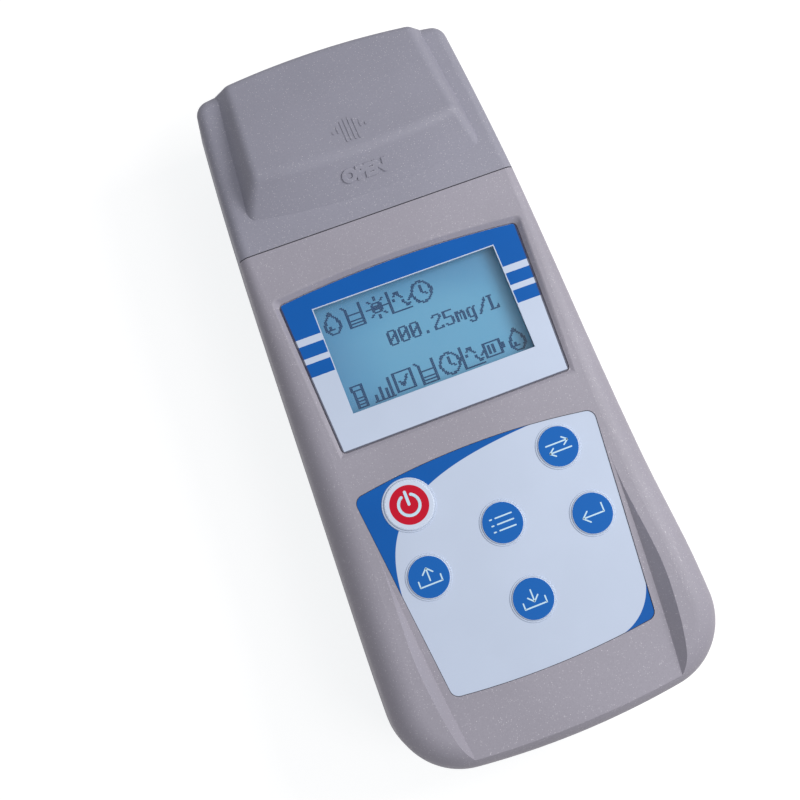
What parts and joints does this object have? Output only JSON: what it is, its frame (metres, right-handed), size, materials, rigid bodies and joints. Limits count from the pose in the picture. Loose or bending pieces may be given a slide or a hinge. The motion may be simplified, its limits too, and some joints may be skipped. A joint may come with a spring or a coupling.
{
  "type": "nickel ion detector",
  "caption": "Handheld water photometer with a tapered grey case, sliding sample cover, display and sprung keys.",
  "frame": {"origin": "centre of the case's outline, on the plane that the feet stand on", "axes": "+X to the right of the face, +Y towards the sample head, +Z out of the face"},
  "size_m": [0.0952, 0.2064, 0.0506],
  "materials": {
    "case_plastic": "warm grey moulded plastic with a fine metallic speckle",
    "cover_plastic": "blue grey moulded plastic with a fine metallic speckle",
    "printed_label": "printed film, white and blue",
    "clear_pane": "clear acrylic",
    "key_blue": "blue embossed key",
    "key_red": "red embossed key in a white ring",
    "chamber_black": "matt black, against stray light",
    "soft_black": "soft black rubber",
    "circuit_board": "green solder mask",
    "package_black": "moulded package",
    "steel": "zinc plated",
    "contact_metal": "nickel plated",
    "optical_glass": "polished",
    "lamp_clear": "clear resin",
    "display_glass": "teal blue display",
    "diffuser": "white diffuser",
    "flex_film": "amber film",
    "battery_can": "plain sleeve"
  },
  "bodies": {
    "case": {"upper_case": "case_plastic", "lower_case": "case_plastic", "display_label": "printed_label", "keypad_overlay": "printed_label", "display_window": "clear_pane", "chamber_deck": "chamber_black", "cell_holder": "chamber_black", "lamp_sleeve": "chamber_black", "light_seal": "soft_black", "rubber_feet": "soft_black", "main_board": "circuit_board", "display_board": "circuit_board", "key_board": "circuit_board", "lamp_board": "circuit_board", "detector_board": "circuit_board", "processor_chip": "package_black", "board_components": "package_black", "buzzer": "package_black", "display_header": "package_black", "case_screws": "steel", "deck_screws": "steel", "display_screws": "steel", "key_board_screws": "steel", "main_board_screws": "steel", "optics_screws": "steel", "lcd_bezel": "steel", "photodiode": "steel", "battery_plates": "contact_metal", "battery_springs": "contact_metal", "key_domes": "contact_metal", "lamp_lens": "optical_glass", "detector_lens": "optical_glass", "optical_filter": "optical_glass", "lamp_led": "lamp_clear", "lcd_glass": "display_glass", "lcd_backlight": "diffuser", "key_flex": "flex_film", "battery_1": "battery_can", "battery_2": "battery_can", "battery_3": "battery_can", "battery_4": "battery_can"},
    "cover": {"sample_cover": "cover_plastic"},
    "door": {"battery_door": "case_plastic"},
    "key_power": {"key_power": "key_red"},
    "key_switch": {"key_switch": "key_blue"},
    "key_menu": {"key_menu": "key_blue"},
    "key_recall": {"key_recall": "key_blue"},
    "key_enter": {"key_enter": "key_blue"},
    "key_save": {"key_save": "key_blue"}
  },
  "joints": [
    {"name": "cover_slide", "type": "slide", "parent": "case", "child": "cover", "axis": [0, 1, 0], "range_m": [0, 0.037]},
    {"name": "door_slide", "type": "slide", "parent": "case", "child": "door", "axis": [0, -1, 0], "range_m": [0, 0.055]},
    {"name": "key_power_press", "type": "slide", "parent": "case", "child": "key_power", "axis": [0, 0, -1], "range_m": [0, 0.0004], "stiffness_N_per_m": 2500},
    {"name": "key_switch_press", "type": "slide", "parent": "case", "child": "key_switch", "axis": [0, 0, -1], "range_m": [0, 0.0004], "stiffness_N_per_m": 2500},
    {"name": "key_menu_press", "type": "slide", "parent": "case", "child": "key_menu", "axis": [0, 0, -1], "range_m": [0, 0.0004], "stiffness_N_per_m": 2500},
    {"name": "key_recall_press", "type": "slide", "parent": "case", "child": "key_recall", "axis": [0, 0, -1], "range_m": [0, 0.0004], "stiffness_N_per_m": 2500},
    {"name": "key_enter_press", "type": "slide", "parent": "case", "child": "key_enter", "axis": [0, 0, -1], "range_m": [0, 0.0004], "stiffness_N_per_m": 2500},
    {"name": "key_save_press", "type": "slide", "parent": "case", "child": "key_save", "axis": [0, 0, -1], "range_m": [0, 0.0004], "stiffness_N_per_m": 2500}
  ]
}
